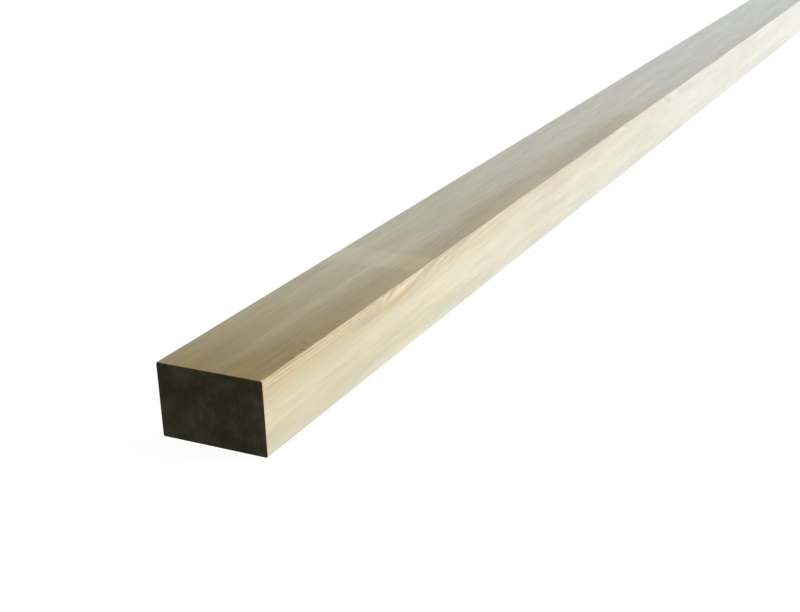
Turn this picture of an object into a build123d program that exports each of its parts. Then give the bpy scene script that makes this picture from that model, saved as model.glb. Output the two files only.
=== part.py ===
from build123d import *
import os
from math import hypot

# Timber batten: one length of planed softwood, lying flat on its broad face.
# Millimetres, X along the length, Y across the width and Z up through the thickness.
# The origin is the centre of the underside, and the near sawn end faces -X.

# The stock as it is sold
length = 1800
width = 38
thickness = 25

# Edges: planed arrises are eased round, sawn ends lose a little of their corner
arris_radius = 0.6
end_break = 0.25

# Two splinters torn off the upper front arris, each with where it starts,
# its run along the grain, its reach down the narrow face and its depth into the broad face
first_nick_from_end = 323
first_nick_run = 20
first_nick_reach = 3.0
first_nick_depth = 0.45
second_nick_from_end = 402
second_nick_run = 14.5
second_nick_reach = 6.0
second_nick_depth = 0.6
nick_step_share = 0.06

# How far a cut runs on past the wood that it removes
overrun = 1.0

nicks = (
    (first_nick_from_end, first_nick_run, first_nick_reach, first_nick_depth),
    (second_nick_from_end, second_nick_run, second_nick_reach, second_nick_depth),
)

os.makedirs("parts", exist_ok=True)

with BuildPart() as batten:
    # Planed section, run out to the full length
    with BuildSketch(Plane.YZ.offset(-length / 2)):
        with Locations((0, thickness / 2)):
            RectangleRounded(width, thickness, arris_radius)
    extrude(amount=length)

    # Corner break round both sawn ends
    sawn_ends = batten.faces().filter_by(Axis.X)
    chamfer(sawn_ends.edges(), end_break)

    # Each splinter leaves a slanted facet that deepens along the grain, then a short broken step
    for from_end, run, reach, depth in nicks:
        bite = reach * depth / hypot(reach, depth)
        broken_end = run + nick_step_share * run
        sharp_corner = (from_end - length / 2, -width / 2, thickness)
        with BuildSketch(Plane(origin=sharp_corner, x_dir=(1, 0, 0), z_dir=(0, depth, reach))):
            with BuildLine():
                Polyline((0, 0), (run, bite), (broken_end, 0), close=True)
            make_face()
        extrude(amount=reach + overrun, both=True, mode=Mode.SUBTRACT)

batten.part.label = "batten"
export_step(batten.part, "parts/batten.step")
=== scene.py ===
from math import radians

import bmesh
import bpy
import numpy as np
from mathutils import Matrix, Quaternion, Vector


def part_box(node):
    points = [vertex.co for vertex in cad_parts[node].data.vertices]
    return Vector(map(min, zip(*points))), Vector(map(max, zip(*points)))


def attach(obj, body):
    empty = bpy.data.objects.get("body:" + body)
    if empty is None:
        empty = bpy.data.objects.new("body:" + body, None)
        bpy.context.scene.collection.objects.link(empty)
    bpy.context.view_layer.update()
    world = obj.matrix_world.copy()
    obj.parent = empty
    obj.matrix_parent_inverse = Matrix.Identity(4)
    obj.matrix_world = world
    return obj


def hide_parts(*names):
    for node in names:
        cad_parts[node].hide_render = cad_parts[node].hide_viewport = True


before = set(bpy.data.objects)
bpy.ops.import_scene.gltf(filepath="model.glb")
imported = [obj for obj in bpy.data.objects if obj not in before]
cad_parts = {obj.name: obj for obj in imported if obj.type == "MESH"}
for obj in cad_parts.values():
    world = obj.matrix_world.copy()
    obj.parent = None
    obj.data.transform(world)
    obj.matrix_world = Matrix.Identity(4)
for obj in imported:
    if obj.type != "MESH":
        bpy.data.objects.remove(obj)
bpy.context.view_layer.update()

mm = 0.001
hair = 1e-6             # millimetres, far below any size here
middling = 0.5          # what a noise texture averages
low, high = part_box("batten")
length, width, thickness = (high - low) / mm
print("frame loaded, batten", round(length), "x", round(width), "x", round(thickness), "mm")


# one output of a shader node, so that sums of values read as plain maths
# sqrt, exp, sin and tanh let numpy's functions take a wire as they take an array
class Wire:
    def __init__(self, tree, socket):
        self.tree = tree
        self.socket = socket

    def node(self, kind, settings=None, sockets=None, output=0):
        made = self.tree.nodes.new("ShaderNode" + kind)
        for name, value in (settings or {}).items():
            if name == "stops":
                setStops(made.color_ramp.elements, value)
            else:
                setattr(made, name, value)
        for name, value in (sockets or {}).items():
            if isinstance(value, Wire):
                self.tree.links.new(value.socket, made.inputs[name])
            else:
                made.inputs[name].default_value = value
        return Wire(self.tree, made.outputs[output])

    def maths(self, operation, *values):
        return self.node("Math", {"operation": operation}, dict(enumerate(values)))

    def __add__(self, other):
        return self.maths("ADD", self, other)

    def __sub__(self, other):
        return self.maths("SUBTRACT", self, other)

    def __rsub__(self, other):
        return self.maths("SUBTRACT", other, self)

    def __mul__(self, other):
        return self.maths("MULTIPLY", self, other)

    def __truediv__(self, other):
        return self.maths("DIVIDE", self, other)

    def __mod__(self, other):
        return self.maths("FLOORED_MODULO", self, other)

    def __pow__(self, other):
        return self.maths("POWER", self, other)

    def __neg__(self):
        return self.maths("MULTIPLY", self, -1.0)

    def sqrt(self):
        return self.maths("SQRT", self)

    def exp(self):
        return self.maths("EXPONENT", self)

    def sin(self):
        return self.maths("SINE", self)

    def tanh(self):
        return self.maths("TANH", self)

    __radd__ = __add__
    __rmul__ = __mul__


def setStops(elements, stops):
    while len(elements) < len(stops):
        elements.new(1.0)
    for element, (place, value) in zip(elements, stops):
        element.position = place
        element.color = value if isinstance(value, tuple) else (value, value, value, 1.0)


def startMaterial(name):
    material = bpy.data.materials.new(name)
    material.use_nodes = True
    tree = material.node_tree
    shader = tree.nodes["Principled BSDF"]
    coords = Wire(tree, tree.nodes.new("ShaderNodeTexCoord").outputs["Object"])
    return material, shader, coords


# millimetres from the near end, across from the middle and up from the underside
def places(coords):
    x, y, z = (coords.node("SeparateXYZ", None, {0: coords}, axis) for axis in range(3))
    return (x - low.x) / mm, y / mm, (z - low.z) / mm


def plug(wire, shader, socket):
    wire.tree.links.new(wire.socket, shader.inputs[socket])


def setSockets(shader, values):
    for name, value in values.items():
        shader.inputs[name].default_value = value


# a colour Mix node takes its amount at socket 0 and its colours at 6 and 7, and gives its colour at 2
def blend(amount, first, second):
    return amount.node("Mix", {"data_type": "RGBA"}, {0: amount, 6: first, 7: second}, 2)


def shade(colour, amount):
    settings = {"data_type": "RGBA", "blend_type": "MULTIPLY"}
    return colour.node("Mix", settings, {0: 1.0, 6: colour, 7: amount}, 2)


def square(value):
    return value * value


# 0 below the place and 1 above it, with a soft edge
def step(value, place, softness):
    return 0.5 + 0.5 * np.tanh((value - place) / softness)


# 1 below the place and 0 above it
def fade(value, place, softness):
    return 1.0 - step(value, place, softness)


# 1 at the place, falling off evenly on both sides
def spot(value, place, reach):
    return np.exp(-square((value - place) / reach))


# waves along the first measure, each leaning over with a measure of its own
def slowWaves(base, waves, along, *others):
    total = base
    for (size, run, lean, start), other in zip(waves, others):
        total = total + size * np.sin(along / run + other / lean + start)
    return total


# a curve through stops, for an array or a wire
def profile(value, stops):
    if isinstance(value, Wire):
        return value.node("ValToRGB", {"stops": stops}, {0: value})
    return np.interp(value, *zip(*stops))


# noise drawn out along the grain, its scale in cells for each metre along, across and up
def stretchedNoise(coords, scale, detail, roughness):
    mapped = coords.node("Mapping", None, {"Vector": coords, "Scale": scale})
    sockets = {"Vector": mapped, "Scale": 1.0, "Detail": detail, "Roughness": roughness}
    return coords.node("TexNoise", None, sockets)


def makeNoises(coords, noises):
    return [stretchedNoise(coords, *settings) for settings in noises.values()]


# how the wood grew, in millimetres: shared by the mesh and by the colours
growth = {
    "heartAcross": 24.0,        # centre of the tree, seen on the sawn end
    "heartUp": -7.65,
    "ringWidth": 0.84,
    "swirls": (                 # place, softness, size, reach from the arris
        (77.5, 3.4, 0.9, 4.2),
        (118.0, 34.0, 2.3, 40.0),
    ),
    "sways": (                  # size, run along, run across or up, start
        (0.16, 29.0, 17.0, 0.0),
        (0.09, 11.0, 7.0, 1.3),
    ),
    "unevenRings": (            # size, pace, start
        (0.2, 1.7, 0.0),
        (0.16, 0.61, 2.0),
    ),
    "ringStops": ((0.0, 0.35), (0.07, 0.0), (0.45, 0.08), (0.8, 0.85), (0.93, 1.0), (1.0, 0.35)),
    "clearUntil": 188.0,        # the front arris shows its lines this far along
    "clearSoft": 14.0,
    "clearDown": 3.9,
    "clearIn": 1.3,
    "faintShow": 0.12,          # how well the lines show elsewhere, and in which patches
    "patchBase": 0.5,
    "patches": (
        (0.3, 97.0, 13.0, 0.0),
        (0.2, 41.0, 5.0, 2.1),
    ),
    "strokeFade": 0.1,          # share of a stroke over which its ends fade
}


# a soft line along the narrow face, from one height to another, its middle raised by the bow
def grainStroke(along, up, start, end, firstUp, lastUp, bow, half):
    share = (along - start) / (end - start)
    middle = firstUp + (lastUp - firstUp) * share + 4.0 * bow * share * (1.0 - share)
    soft = growth["strokeFade"] * (end - start)
    return (step(along, start, soft) - step(along, end, soft)) * spot(up, middle, half)


def drawStrokes(along, up, strokes):
    drawn = 0.0
    for *line, strength in strokes:
        drawn = drawn + strength * grainStroke(along, up, *line)
    return drawn


# growth rings counted outwards from the heart
def ringCount(along, across, up):
    fromHeart = np.sqrt(square(across - growth["heartAcross"]) + square(up - growth["heartUp"]))
    fromArris = square(across + width / 2) + square(up - thickness)
    swirl = 0.0
    for place, softness, size, reach in growth["swirls"]:
        swirl = swirl + 2.0 * size * step(along, place, softness) * np.exp(-fromArris / square(reach))
    sway = slowWaves(0.0, growth["sways"], along, across, up)
    even = (fromHeart - swirl + sway) / growth["ringWidth"]
    count = even
    for size, pace, start in growth["unevenRings"]:
        count = count + size * np.sin(pace * even + start)
    return count


# 0 in pale spring wood, 1 in the dark line that ends each ring
def summerWood(count):
    return profile(count % 1.0, growth["ringStops"])


# how strongly the rings stand out: best by the front arris of the near end
def ringShow(along, across, up):
    inward = (across + width / 2) / growth["clearIn"]
    down = (up - thickness) / growth["clearDown"]
    nearEnough = fade(along, growth["clearUntil"], growth["clearSoft"])
    clear = np.exp(-(square(inward) + square(down))) * nearEnough
    return clear + growth["faintShow"] * slowWaves(growth["patchBase"], growth["patches"], along, across, up)


# sizes in millimetres
battenForm = {
    "loopsAlong": 250,
    "loopsAcross": 86,
    "loopsUp": 60,
    "fineRows": 4001,           # samples from which the rows are spaced
    "crowdAlong": 0.075,        # how closely rows stand along the batten, plain and in its first part
    "crowdFirst": 0.05,
    "firstUntil": 800.0,
    "firstSoft": 60.0,
    "crowdEnds": ((0.26, 0.0, 180.0), (0.1, length, 60.0)),    # more, place, reach
    "crowdNick": (0.8, 0.6, 0.5),           # more, place and reach as shares of the nick's run
    "crowdNickEnd": (1.6, 1.6),             # more, reach
    "crowdAcross": (1.8, 1.6, 8.0),         # plain, more by the front, reach
    "crowdUp": (1.5, 2.2, 7.0),             # plain, more by the top, reach
    "arrisRadius": 0.6,
    "endBreak": 0.25,
    "edgeSteps": (0.0, 0.12, 0.25, 0.42, 0.6),      # rows of vertices that turn the arris
    "ringRelief": 0.04,
    "arrisWear": 0.1,
    "wearBase": 0.5,
    "wearWaves": ((0.22, 9.1, 1.0, 0.0), (0.16, 3.7, 1.0, 1.9)),    # size, run, lean, start
    "nicks": ((323.0, 20.0, 3.0, 0.45), (402.0, 14.5, 6.0, 0.6)),    # start, run, reach down, depth in
    "nickStep": 0.06,           # length of the broken step, as a share of the run
    "sawRelief": 0.05,
    "sawBase": 0.5,
    "sawWaves": ((0.3, 0.62, 1.0, 0.0), (0.2, 0.23, 1.0, 1.1)),
    "sawSlant": 0.35,
    "sharpAngle": 32.0,         # degrees past which an edge is shaded sharp
}


# rows of vertices from 0 to span, closer together where crowd is larger
def crowdedRows(span, rows, firstSteps, crowd):
    edge = firstSteps[-1]
    fine = np.linspace(edge, span - edge, battenForm["fineRows"])
    total = np.cumsum(crowd(fine))
    total = (total - total[0]) / (total[-1] - total[0])
    inner = np.interp(np.linspace(0.0, 1.0, rows + 1 - 2 * (len(firstSteps) - 1)), total, fine)
    ends = np.array(firstSteps[:-1])
    return np.concatenate([ends, inner, span - ends[::-1]])


def crowdAlong(along):
    form = battenForm
    crowd = form["crowdAlong"] + form["crowdFirst"] * fade(along, form["firstUntil"], form["firstSoft"])
    for more, place, reach in form["crowdEnds"]:
        crowd = crowd + more * spot(along, place, reach)
    more, placeShare, reachShare = form["crowdNick"]
    moreAtEnd, endReach = form["crowdNickEnd"]
    for start, run in (nick[:2] for nick in form["nicks"]):
        crowd = crowd + more * spot(along, start + placeShare * run, reachShare * run)
        crowd = crowd + moreAtEnd * spot(along, start + run, endReach)
    return crowd


def crowdAcross(across):
    plain, more, reach = battenForm["crowdAcross"]
    return plain + more * spot(across, 0.0, reach)


def crowdUp(up):
    plain, more, reach = battenForm["crowdUp"]
    return plain + more * spot(up, thickness, reach)


# a box of plain quads, with the wanted number of rows each way
def gridBox():
    bm = bmesh.new()
    bmesh.ops.create_cube(bm, size=1.0)
    rows = (battenForm["loopsAlong"], battenForm["loopsAcross"], battenForm["loopsUp"])
    for axis, count in enumerate(rows):
        # the edges along this axis are still as long as the box
        edges = [e for e in bm.edges if abs(e.verts[0].co[axis] - e.verts[1].co[axis]) > 0.5]
        bmesh.ops.subdivide_edges(bm, edges=edges, cuts=count - 1, use_grid_fill=True)
    mesh = bpy.data.meshes.new("timberBatten")
    bm.to_mesh(mesh)
    bm.free()
    return mesh


# the end grain's faces are flat to the ends while the box is still plain
def paintFaces(mesh):
    normals = np.empty(len(mesh.polygons) * 3)
    mesh.polygons.foreach_get("normal", normals)
    sawnFace = np.abs(normals.reshape(-1, 3)[:, 0]) > 0.5
    mesh.polygons.foreach_set("material_index", sawnFace.astype(np.int32))
    mesh.polygons.foreach_set("use_smooth", np.ones(len(mesh.polygons), bool))


# spreads the plain box to full size: each vertex gets its row, its place along and its place in the section
def spreadRows(mesh):
    form = battenForm
    flat = np.empty(len(mesh.vertices) * 3)
    mesh.vertices.foreach_get("co", flat)
    share = flat.reshape(-1, 3) + 0.5
    rows = np.array([form["loopsAlong"], form["loopsAcross"], form["loopsUp"]])
    row, column, layer = np.rint(share * rows).astype(int).T
    along = crowdedRows(length, rows[0], (0.0, form["endBreak"]), crowdAlong)[row]
    across = crowdedRows(width, rows[1], form["edgeSteps"], crowdAcross)[column] - width / 2
    up = crowdedRows(thickness, rows[2], form["edgeSteps"], crowdUp)[layer]
    return row, along, np.stack([across, up - thickness / 2], 1)


# turns the square corners of the section round
def roundArrises(section):
    radius = battenForm["arrisRadius"]
    half = np.array([width, thickness]) / 2
    inset = (half - np.abs(section)).min(1)
    inner = np.clip(section, radius - half, half - radius)
    out = section - inner
    facing = out / np.maximum(np.hypot(*out.T), hair)[:, None]
    return inner + facing * np.abs(out).max(1)[:, None], facing, inset


# planed faces: summer wood stands a little proud, arrises are worn unevenly
def wearFaces(along, section, facing, onSide):
    form = battenForm
    across, up = section[:, 0], section[:, 1] + thickness / 2
    show = np.clip(ringShow(along, across, up), 0.0, 1.0)
    spring = 1.0 - summerWood(ringCount(along, across, up))
    turning = 2.0 * np.abs(facing[:, 0] * facing[:, 1])     # 1 at the middle of an arris
    worn = slowWaves(form["wearBase"], form["wearWaves"], along, across, 0.0)
    sink = form["ringRelief"] * show * spring + form["arrisWear"] * turning * worn
    return section - facing * np.where(onSide, sink, 0.0)[:, None]


# torn nicks in the upper front arris: a slanted facet that deepens, then a broken step
def tearNicks(along, section, onSide):
    corner = np.array([-width / 2, thickness / 2])
    for start, run, down, depth in battenForm["nicks"]:
        slope = np.hypot(down, depth)
        inward = np.array([down, -depth]) / slope
        bite = down * depth / slope
        stops = [0.0, run, run * (1.0 + battenForm["nickStep"])]
        cut = bite * np.interp(along - start, stops, [0.0, 1.0, 0.0])
        short = np.clip(cut - (section - corner) @ inward, 0.0, None)
        section = section + inward * np.where(onSide, short, 0.0)[:, None]
    return section


# sawn ends: broken corners and shallow saw lines
def sawEnds(row, along, section, facing, inset):
    form = battenForm
    onEnd = (row == 0) | (row == form["loopsAlong"])
    broken = np.where(onEnd, np.clip(form["endBreak"] - inset, 0.0, None) / 2, 0.0)
    section = section - facing * broken[:, None]
    slanted = form["sawSlant"] * section[:, 1]
    saw = slowWaves(form["sawBase"], form["sawWaves"], section[:, 0], slanted, 0.0)
    sawn = np.where(onEnd & (inset > form["endBreak"]), form["sawRelief"] * saw, 0.0)
    toMiddle = np.where(row == 0, 1.0, -1.0)
    return along + toMiddle * (broken + sawn), section


def shapeBatten(mesh):
    row, along, section = spreadRows(mesh)
    section, facing, inset = roundArrises(section)
    onSide = inset < hair
    section = wearFaces(along, section, facing, onSide)
    section = tearNicks(along, section, onSide)
    along, section = sawEnds(row, along, section, facing, inset)
    across, up = section[:, 0], section[:, 1] + thickness / 2
    placed = np.stack([low.x + along * mm, across * mm, low.z + up * mm], 1)
    mesh.vertices.foreach_set("co", placed.ravel())
    mesh.update()
    mesh.set_sharp_from_angle(angle=radians(battenForm["sharpAngle"]))


# places and reaches in millimetres, amounts as shares
timber = {
    "spring": (0.645, 0.59, 0.40, 1.0),
    "summer": (0.43, 0.345, 0.19, 1.0),
    "tanned": (0.36, 0.275, 0.095, 1.0),
    "honey": (0.55, 0.35, 0.13, 1.0),
    # painted glare: the pale, greyish colour the wood is painted towards along the length
    "glarePale": (0.65, 0.652, 0.625, 1.0),
    "olive": (0.49, 0.46, 0.33, 1.0),
    "cool": (0.57, 0.59, 0.54, 1.0),
    "bruise": (0.16, 0.125, 0.07, 1.0),
    "noises": {                 # scale, detail, roughness
        "fibre": ((32.0, 2600.0, 2600.0), 4.0, 0.6),
        "fleck": ((160.0, 7000.0, 7000.0), 2.0, 0.5),
        "mottle": ((16.0, 170.0, 170.0), 3.0, 0.6),
        "broad": ((5.0, 120.0, 120.0), 2.0, 0.5),
        "broken": ((220.0, 750.0, 750.0), 2.0, 0.5),
        "grainy": ((45.0, 800.0, 800.0), 2.0, 0.5),
        "patchy": ((20.0, 110.0, 110.0), 2.0, 0.5),
    },
    "topDepth": 0.35,           # how far down the arris counts as the top, and how far in as the front
    "frontDepth": 0.75,
    "faceSoft": 0.1,
    "darkStrokes": (            # start, end, height at each, bow, half height, strength
        (77.5, 86.5, 21.9, 25.7, 0.0, 0.7, 1.0),        # beside the swirl's hook
        (80.0, 111.0, 20.2, 24.8, -1.3, 0.75, 0.75),    # under the gleam and over it
        (82.0, 104.0, 25.2, 25.5, 0.0, 0.95, 1.1),
        (88.6, 92.0, 23.7, 25.1, 0.0, 0.6, 0.6),
        (107.0, 119.0, 22.5, 24.4, 0.0, 1.2, 0.9),
        (119.0, 145.0, 21.9, 23.8, 0.2, 0.4, 0.75),     # fine lines that fan out past it
        (107.0, 141.0, 18.8, 21.6, 0.3, 0.35, 0.5),
        # painted shade: a darker line just under the arris
        (118.0, 146.0, 24.5, 24.6, 0.0, 0.8, 0.85),
        (185.0, 310.0, 24.4, 24.4, 0.0, 2.2, 0.5),      # broad darker stretches; the first, a line just under the arris, is painted shade
        (310.0, 520.0, 21.5, 21.5, 0.0, 4.5, 0.3),
        (350.0, 435.0, 1.0, 1.0, 0.0, 2.5, 0.45),
        (319.5, 322.5, 24.1, 24.1, 0.0, 0.6, 0.5),      # where the first nick starts
        (329.0, 342.6, 26.4, 23.2, 0.0, 0.9, 1.5),      # torn faces of the two nicks, darkened as painted shade
        (402.5, 417.0, 26.4, 20.2, 0.0, 1.5, 1.1),
    ),
    "brightStrokes": (
        (76.0, 82.0, 22.4, 25.8, 0.0, 0.9, 0.15),       # the swirl's hook
        (76.0, 93.0, 20.9, 23.6, 0.0, 0.9, 0.13),       # gleam of turned grain, broad in the middle
        (83.0, 109.0, 22.5, 24.9, 0.0, 0.95, 0.14),
        (115.5, 131.0, 22.4, 24.5, 0.1, 0.5, 0.14),
        (327.0, 343.0, 25.0, 21.9, 0.0, 0.6, 0.15),     # painted highlights on the lips of the nicks and on the wood past them
        (342.0, 348.0, 24.7, 24.4, 0.0, 0.9, 0.07),
        (400.0, 415.0, 25.0, 18.9, 0.0, 0.8, 0.09),
        (415.5, 432.0, 24.0, 22.4, 0.0, 1.7, 0.12),
    ),
    "ringsByDark": 3.0,         # how fast ring lines give way to the strokes, and by how much on the top
    "ringsByBright": 10.0,
    "ringsOnTop": 0.75,
    "ringBreaks": (2.8, 0.5),   # gain and cut of the noise that breaks the lines up
    # painted glare along the length: run, end, softness, and how much lighter it paints the top and the
    # front
    "paintedGlare": {"run": 440.0, "until": 1150.0, "soft": 200.0, "top": 0.18, "front": 0.03},
    "strap": {"start": 102.1, "end": 117.6, "soft": 1.3, "gain": 0.115},
    "strapFront": (0.5, -11.0, 6.0),        # more towards the front arris: amount, place, reach
    "tanEnd": (62.0, 1.25),                 # the near end's tan: run and power of its fall
    "tanBack": (0.18, 13.0, 4.0),           # less of it at the back: amount, place, softness
    "tanEdge": (0.45, 0.15),                # the top's tan starts this far in from the front arris
    "tanBand": {"far": 0.12, "near": 0.33, "until": 365.0, "soft": 25.0, "place": 6.0, "reach": 7.0},
    "tanBandByEnd": 0.8,                    # how far the band gives way to the near end's tan
    "tanClouds": 0.45,
    "tanFront": 0.16,
    "tanUnderRings": {"amount": 0.13, "up": 19.5, "reach": 3.0, "until": 100.0, "soft": 15.0},
    "honeyBand": {"amount": 0.15, "up": 21.5, "reach": 4.0, "until": 390.0, "soft": 60.0},
    "honeyArris": (0.3, 3.5),               # amount, run in from the arris
    "honeyPatches": (0.4, 0.48),            # amount, level from which they show
    "oliveBand": {"far": 0.15, "near": 0.3, "up": 5.5, "reach": 2.8, "until": 165.0, "soft": 40.0},
    "coolFoot": (0.35, 2.5),                # amount, run up from the floor
    "bruises": (                # along, across, length, width, slant
        (30.1, -15.5, 0.45, 2.0, 0.6),
        (18.0, -18.0, 1.0, 0.9, 0.0),
        (25.0, -17.9, 0.8, 0.6, 0.0),
    ),
    "bruiseAmount": 0.5,
    "endGleam": (0.06, 0.8),                # painted highlight on the front's edge at the near end: amount, run
    "toneFibre": 0.2,
    "toneMottle": 0.42,
    "toneGrainy": (0.22, 0.2),              # all over, and more on the top
    "roughness": 0.45,
    "roughFibre": 0.16,
    "roughRings": 0.06,
    "bumpFibre": 0.7,
    "bumpFleck": 0.3,
    "bump": {"Strength": 0.4, "Distance": 0.05 * mm},
    "finish": {                 # the sheen is a pale bloom at grazing angles
        "Sheen Weight": 0.8,
        "Sheen Roughness": 0.22,
        "Sheen Tint": (0.62, 0.8, 0.95, 1.0),
        "IOR": 1.5,
    },
}


# the top face and the narrow front face, parted softly at the arris
def faceMasks(across, up):
    onTop = step(up, thickness - timber["topDepth"], timber["faceSoft"])
    onFront = step(-across, width / 2 - timber["frontDepth"], timber["faceSoft"]) * (1.0 - onTop)
    return onTop, onFront


# painted glare: the wood is painted paler and greyer along the length from the near end, and straw-coloured
# again past about 1.15 m
def paintedGlareAlong(along):
    paintedGlare = timber["paintedGlare"]
    return (1.0 - np.exp(-along / paintedGlare["run"])) * fade(along, paintedGlare["until"], paintedGlare["soft"])


# pale band where a strap kept the top clean
def strapBand(along, across):
    strap = timber["strap"]
    band = step(along, strap["start"], strap["soft"]) - step(along, strap["end"], strap["soft"])
    amount, place, reach = timber["strapFront"]
    return strap["gain"] * band * (1.0 + amount * spot(across, place, reach))


# tan of the top: strongest at the near end, with a band beside the front arris
def topTan(along, across, byEnd):
    band = timber["tanBand"]
    strength = band["far"] + band["near"] * fade(along, band["until"], band["soft"])
    byArris = strength * spot(across + width / 2, band["place"], band["reach"])
    amount, place, softness = timber["tanBack"]
    endTan = byEnd * (1.0 - amount * step(across, place, softness))
    return endTan + byArris * (1.0 - timber["tanBandByEnd"] * byEnd)


# a soft band along the front, which ends some way along
def frontBand(along, up, band):
    return band["amount"] * spot(up, band["up"], band["reach"]) * fade(along, band["until"], band["soft"])


def bruising(along, across):
    bruised = 0.0
    for place, side, run, spread, slant in timber["bruises"]:
        bruised = bruised + spot(along - slant * (across - side), place, run) * spot(across, side, spread)
    return timber["bruiseAmount"] * bruised


def planedTimber():
    material, shader, coords = startMaterial("planedTimber")
    along, across, up = places(coords)
    fibre, fleck, mottle, broad, broken, grainy, patchy = makeNoises(coords, timber["noises"])
    onTop, onFront = faceMasks(across, up)

    # ring lines, and the strokes of the swirl and the nicks drawn over them; some dark strokes are painted
    # shade and some bright ones painted highlights
    dark = onFront * drawStrokes(along, up, timber["darkStrokes"])
    bright = onFront * drawStrokes(along, up, timber["brightStrokes"])
    gain, cut = timber["ringBreaks"]
    late = summerWood(ringCount(along, across, up)) * ringShow(along, across, up)
    late = late * np.exp(-timber["ringsByDark"] * dark - timber["ringsByBright"] * bright)
    late = late * (gain * broken - cut) * (1.0 - timber["ringsOnTop"] * onTop)
    colour = blend(late + dark, timber["spring"], timber["summer"])
    # painted glare: paler, greyer wood along the length
    paintedGlare = paintedGlareAlong(along)
    colour = blend(paintedGlare, colour, timber["glarePale"])

    # tan of the near end and of the front arris, whose edge is ragged
    fromFront = across + width / 2
    run, power = timber["tanEnd"]
    byEnd = np.exp(-(along / run) ** power)
    inFromArris = onTop * step(fromFront + (broken - middling), *timber["tanEdge"])
    tan = inFromArris * topTan(along, across, byEnd) + timber["tanClouds"] * (broad - middling)
    frontTan = timber["tanFront"] * byEnd + frontBand(along, up, timber["tanUnderRings"])
    colour = blend(tan + onFront * frontTan, colour, timber["tanned"])

    # honey warmth by the arris and in patches
    amount, run = timber["honeyArris"]
    byArris = amount * (inFromArris + byEnd * (onTop - inFromArris)) * np.exp(-fromFront / run)
    amount, level = timber["honeyPatches"]
    warmth = onFront * frontBand(along, up, timber["honeyBand"]) + byArris + amount * (patchy - level)
    colour = blend(warmth, colour, timber["honey"])

    # olive low on the front, cooler and greyer towards its foot, bruises on the top
    band = timber["oliveBand"]
    olive = band["far"] + band["near"] * fade(along, band["until"], band["soft"])
    colour = blend(onFront * spot(up, band["up"], band["reach"]) * olive, colour, timber["olive"])
    amount, run = timber["coolFoot"]
    colour = blend(onFront * amount * np.exp(-up / run), colour, timber["cool"])
    colour = blend(bruising(along, across) * onTop, colour, timber["bruise"])

    # lighter and darker: strokes, strap band, a painted highlight on the near edge, fibres and clouds, and
    # painted glare along the length
    amount, run = timber["endGleam"]
    tone = bright + strapBand(along, across) * onTop + amount * onFront * np.exp(-along / run)
    allOver, moreOnTop = timber["toneGrainy"]
    tone = tone + timber["toneFibre"] * (fibre - middling) + timber["toneMottle"] * (mottle - middling)
    tone = tone + (allOver + moreOnTop * onTop) * (grainy - middling)
    # painted glare: the top painted lighter still along the length, the front a little
    tone = tone + paintedGlare * (timber["paintedGlare"]["top"] * onTop + timber["paintedGlare"]["front"] * onFront)
    plug(shade(colour, 1.0 + tone), shader, "Base Color")

    rough = timber["roughness"] + timber["roughFibre"] * (fibre - middling) - timber["roughRings"] * late
    plug(rough, shader, "Roughness")
    height = timber["bumpFibre"] * fibre + timber["bumpFleck"] * fleck
    plug(coords.node("Bump", None, {**timber["bump"], "Height": height}), shader, "Normal")
    setSockets(shader, timber["finish"])
    return material


sawnEnd = {
    # painted shade: the ends are painted far darker than end grain alone, partly its own darker tone and
    # partly the shade the near end lies in
    "dark": (0.0165, 0.0165, 0.0085, 1.0),
    "ring": (0.038, 0.035, 0.019, 1.0),
    # reddish brown for the painted light on the end's front and top rims, and for reddish patches and pores
    "rimLightAndSpecks": (0.070, 0.034, 0.022, 1.0),
    "noises": {
        "pores": ((300.0, 3500.0, 3500.0), 3.0, 0.6),
        "blotch": ((40.0, 150.0, 150.0), 3.0, 0.6),
        "patch": ((70.0, 260.0, 260.0), 2.0, 0.5),
    },
    "ringAmount": 0.3,
    "blotches": (3.2, 0.45),        # amount, level from which they show
    "rimLightFront": (0.7, 1.6),        # painted light along the front edge: amount, run in from the edge
    "rimLightTop": (0.45, 1.3),
    "reddishPatches": (2.2, 0.55),
    "reddishPores": (1.2, 0.6),
    "roughness": 0.85,
    "roughPores": 0.1,
    "bumpRings": 0.3,
    "bump": {"Strength": 0.6, "Distance": 0.08 * mm},
    "finish": {"Specular IOR Level": 0.1},
}


def showing(noise, amount, level):
    return amount * (noise - level)


# end grain painted very dark: its own darker tone and painted shade
def endGrainWithPaintedShade():
    material, shader, coords = startMaterial("endGrainWithPaintedShade")
    along, across, up = places(coords)
    pores, blotch, patch = makeNoises(coords, sawnEnd["noises"])
    late = summerWood(ringCount(along, across, up))
    grain = sawnEnd["ringAmount"] * late + showing(blotch, *sawnEnd["blotches"])
    colour = blend(grain, sawnEnd["dark"], sawnEnd["ring"])
    # painted light: lighter reddish rims along the end's front and top edges, with reddish patches and pores
    # all over
    frontAmount, frontRun = sawnEnd["rimLightFront"]
    topAmount, topRun = sawnEnd["rimLightTop"]
    byFront = frontAmount * np.exp(-(across + width / 2) / frontRun)
    byTop = topAmount * np.exp((up - thickness) / topRun)
    rimLightAndSpecks = byFront + byTop + showing(patch, *sawnEnd["reddishPatches"]) + showing(pores, *sawnEnd["reddishPores"])
    plug(blend(rimLightAndSpecks, colour, sawnEnd["rimLightAndSpecks"]), shader, "Base Color")
    plug(sawnEnd["roughness"] + showing(pores, sawnEnd["roughPores"], middling), shader, "Roughness")
    height = pores + sawnEnd["bumpRings"] * late
    plug(coords.node("Bump", None, {**sawnEnd["bump"], "Height": height}), shader, "Normal")
    setSockets(shader, sawnEnd["finish"])
    return material


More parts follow.
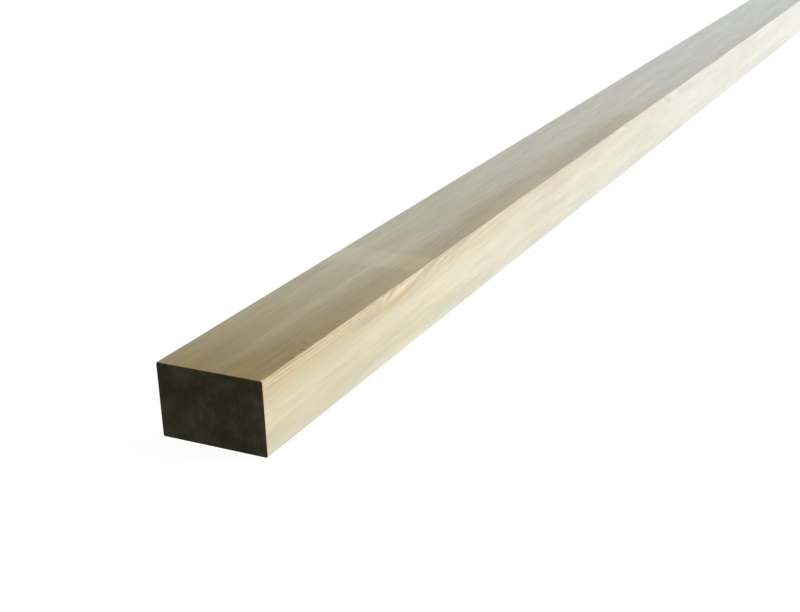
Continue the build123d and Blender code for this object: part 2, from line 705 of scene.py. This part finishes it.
mesh = gridBox()
print("grid box made,", len(mesh.polygons), "quads")
paintFaces(mesh)
shapeBatten(mesh)
print("batten shaped")
mesh.materials.append(planedTimber())
mesh.materials.append(endGrainWithPaintedShade())
piece = bpy.data.objects.new("timberBatten", mesh)
bpy.context.scene.collection.objects.link(piece)
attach(piece, "root")
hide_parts("batten")
print("batten dressed")


# sizes and places in metres
stage = {
    "floorReach": 60.0,
    "floorDrop": 0.0002,
    "floorFinish": {
        "Base Color": (0.21, 0.21, 0.21, 1.0),
        "Roughness": 1.0,
        "Specular IOR Level": 0.0,
        "Emission Color": (1.0, 1.0, 1.0, 1.0),
        "Emission Strength": 0.92,
    },
    "surround": (           # sine of the height above the horizon, and the light there
        (0.0, (1.1, 1.1, 1.08, 1.0)),
        (0.14, (1.1, 1.1, 1.08, 1.0)),
        (0.30, (0.45, 0.45, 0.45, 1.0)),
        (0.6, (0.33, 0.33, 0.33, 1.0)),
    ),
    "lamps": {              # from where, to where, side, watts, colour
        "softKey": ((0.4, -1.9, 1.35), (-0.5, 0.0, 0.0), 1.6, 41.2, (1.0, 0.98, 0.95)),
    },
}


def layFloor():
    bm = bmesh.new()
    bmesh.ops.create_grid(bm, x_segments=1, y_segments=1, size=stage["floorReach"])
    bmesh.ops.translate(bm, verts=bm.verts, vec=(0.0, 0.0, low.z - stage["floorDrop"]))
    floorMesh = bpy.data.meshes.new("studioFloor")
    bm.to_mesh(floorMesh)
    bm.free()
    floor = bpy.data.objects.new("studioFloor", floorMesh)
    bpy.context.scene.collection.objects.link(floor)
    material, shader = startMaterial("paleFloor")[:2]
    setSockets(shader, stage["floorFinish"])
    floorMesh.materials.append(material)


def hangLamp(name, place, target, side, watts, colour):
    lamp = bpy.data.lights.new(name, "AREA")
    lamp.size = side
    lamp.energy = watts
    lamp.color = colour
    holder = bpy.data.objects.new(name, lamp)
    holder.location = place
    holder.rotation_euler = (Vector(target) - Vector(place)).to_track_quat("-Z", "Y").to_euler()
    holder.visible_camera = False
    bpy.context.scene.collection.objects.link(holder)


def lightStage():
    world = bpy.data.worlds.new("studio")
    world.use_nodes = True
    tree = world.node_tree
    direction = Wire(tree, tree.nodes.new("ShaderNodeTexCoord").outputs["Generated"])
    height = direction.node("SeparateXYZ", None, {0: direction}, 2)
    plug(profile(height, stage["surround"]), tree.nodes["Background"], "Color")
    bpy.context.scene.world = world
    for name, settings in stage["lamps"].items():
        hangLamp(name, *settings)
    bpy.context.scene.view_settings.view_transform = "Standard"


# where the photograph was taken from, in millimetres from the near end's underside
view = {
    "eye": (-295.8, -218.9, 182.3),
    "aim": (98.8, -13.4, 12.5),
    "lean": 2.01,           # degrees
    "lens": 60.23,
    "sensor": 36.0,
    "clip": (20.0, 200000.0),
}


def setCamera():
    data = bpy.data.cameras.new("camera")
    data.lens = view["lens"]
    data.sensor_width = view["sensor"]
    data.clip_start, data.clip_end = (distance * mm for distance in view["clip"])
    camera = bpy.data.objects.new("camera", data)
    nearEnd = Vector((low.x, 0.0, low.z))
    eye = nearEnd + Vector(view["eye"]) * mm
    aim = nearEnd + Vector(view["aim"]) * mm
    lean = Quaternion((0.0, 0.0, 1.0), -radians(view["lean"]))
    camera.rotation_mode = "QUATERNION"
    camera.rotation_quaternion = (aim - eye).to_track_quat("-Z", "Y") @ lean
    camera.location = eye
    bpy.context.scene.collection.objects.link(camera)
    bpy.context.scene.camera = camera


layFloor()
lightStage()
setCamera()
print("stage set")
